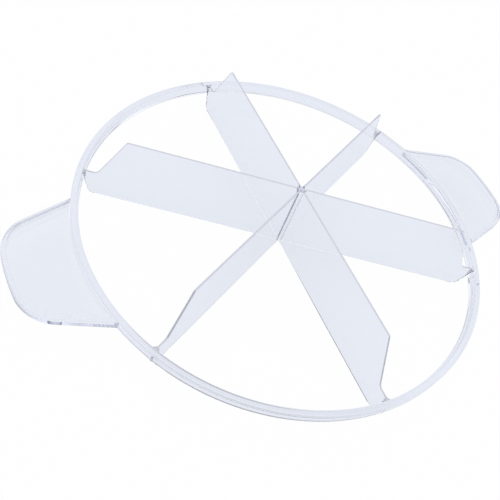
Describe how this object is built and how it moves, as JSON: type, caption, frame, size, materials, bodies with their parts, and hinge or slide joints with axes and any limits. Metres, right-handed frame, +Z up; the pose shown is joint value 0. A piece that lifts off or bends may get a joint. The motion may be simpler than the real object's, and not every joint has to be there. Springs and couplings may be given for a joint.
{
  "type": "pie slice cutter",
  "caption": "Clear plastic pie divider: a round rim with flat radial blades that meet at a centre post, and a rounded handle tab on each side.",
  "frame": {"origin": "on the centre axis, level with the blades' back edges, which the cutter stands on", "axes": "+Z up along the centre axis towards the cutting edges, +X along the two handles"},
  "size_m": [0.33, 0.254, 0.046],
  "materials": {
    "ring": "clear, polished",
    "blade": "clear, polished",
    "hub": "clear, polished",
    "handle": "clear, polished"
  },
  "bodies": {
    "root": {"rim_ring": "ring", "hub_post": "hub", "blade_1": "blade", "blade_2": "blade", "blade_3": "blade", "blade_4": "blade", "blade_5": "blade", "blade_6": "blade", "handle_right": "handle", "handle_left": "handle"}
  },
  "joints": []
}
